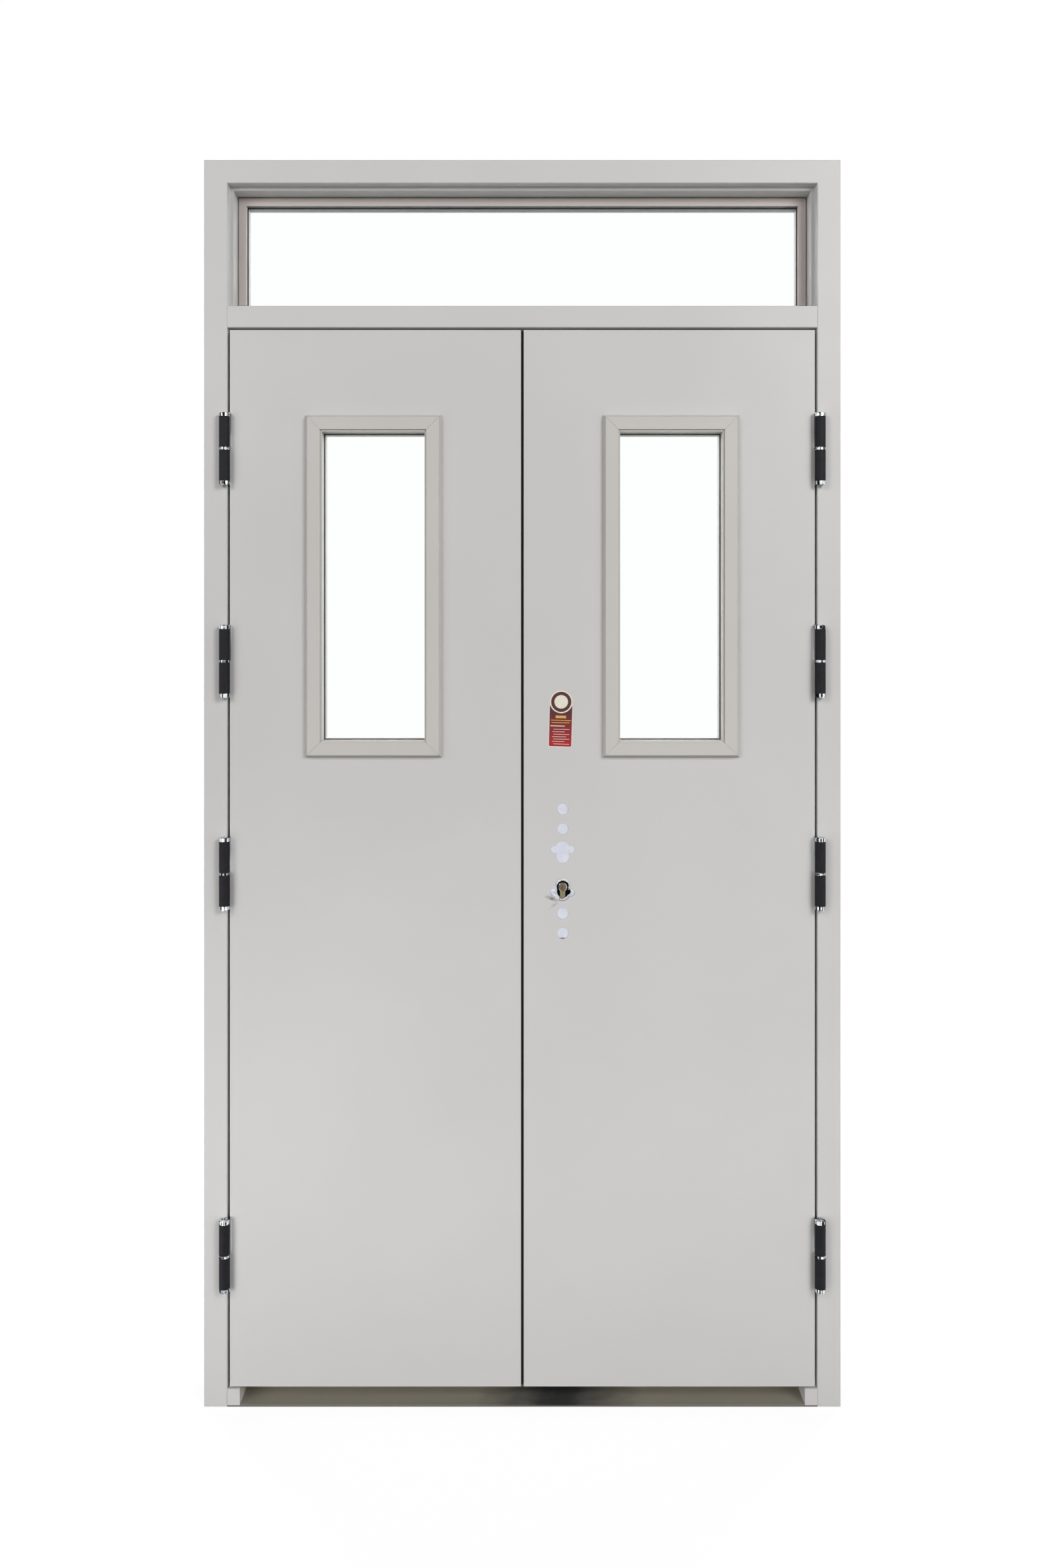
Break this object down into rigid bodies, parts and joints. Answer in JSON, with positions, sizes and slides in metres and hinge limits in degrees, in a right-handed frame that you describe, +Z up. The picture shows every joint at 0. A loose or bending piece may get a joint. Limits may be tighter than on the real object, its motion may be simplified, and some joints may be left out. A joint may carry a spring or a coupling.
{
  "type": "double-leaf fire rated steel door set with transom light",
  "caption": "Double-leaf steel fire door in a rebated steel frame with a glazed transom light, vision panels, lift-off hinges and a lock cut-out ready for a handle.",
  "frame": {"origin": "underside of the threshold, midway along it and midway through its depth", "axes": "+X to the right seen from the front, +Y to the back, +Z up; the front faces -Y"},
  "size_m": [1.226, 0.1207, 2.4],
  "materials": {
    "paint": "satin light grey powder coat",
    "trim_paint": "satin warm grey powder coat",
    "stainless": "rolled stainless steel, scuffed",
    "transom_glass": "clear",
    "fire_glass": "clear laminated fire glass",
    "seal": "matt black",
    "zinc_plate": "zinc plated",
    "cylinder_brass": "nickel plated brass",
    "core_board": "light mineral fibre door core board",
    "film": "pale protective film",
    "label": "printed paper seal, plain",
    "hinge_sleeve": "matt black sleeve over steel, bright end caps"
  },
  "bodies": {
    "frame": {"left_jamb": "paint", "right_jamb": "paint", "frame_head": "paint", "transom_bar": "paint", "threshold": "stainless", "left_foot_block": "paint", "right_foot_block": "paint", "transom_glass": "transom_glass", "transom_beads": "trim_paint", "frame_seal": "seal", "left_wall_anchors": "zinc_plate", "right_wall_anchors": "zinc_plate", "left_hinge_1_frame_half": "hinge_sleeve", "left_hinge_2_frame_half": "hinge_sleeve", "left_hinge_3_frame_half": "hinge_sleeve", "left_hinge_4_frame_half": "hinge_sleeve", "right_hinge_1_frame_half": "hinge_sleeve", "right_hinge_2_frame_half": "hinge_sleeve", "right_hinge_3_frame_half": "hinge_sleeve", "right_hinge_4_frame_half": "hinge_sleeve"},
    "left_leaf": {"left_front_skin": "paint", "left_rear_skin": "paint", "left_core": "core_board", "left_front_trim": "trim_paint", "left_rear_trim": "trim_paint", "left_glass": "fire_glass", "left_strike_plate": "zinc_plate", "left_flush_bolts": "zinc_plate", "left_hinge_1_leaf_half": "hinge_sleeve", "left_hinge_2_leaf_half": "hinge_sleeve", "left_hinge_3_leaf_half": "hinge_sleeve", "left_hinge_4_leaf_half": "hinge_sleeve"},
    "right_leaf": {"right_front_skin": "paint", "right_rear_skin": "paint", "right_core": "core_board", "right_front_trim": "trim_paint", "right_rear_trim": "trim_paint", "right_glass": "fire_glass", "right_lock_case": "zinc_plate", "right_lock_bolts": "zinc_plate", "right_lock_cylinder": "cylinder_brass", "right_hinge_1_leaf_half": "hinge_sleeve", "right_hinge_2_leaf_half": "hinge_sleeve", "right_hinge_3_leaf_half": "hinge_sleeve", "right_hinge_4_leaf_half": "hinge_sleeve"}
  },
  "joints": [
    {"name": "left_leaf_swing", "type": "hinge", "parent": "frame", "child": "left_leaf", "pos_m": [-0.571, -0.0605, 1.069], "axis": [0, 0, -1], "range_deg": [0, 180]},
    {"name": "right_leaf_swing", "type": "hinge", "parent": "frame", "child": "right_leaf", "pos_m": [0.571, -0.0605, 1.069], "axis": [0, 0, 1], "range_deg": [0, 180]}
  ]
}
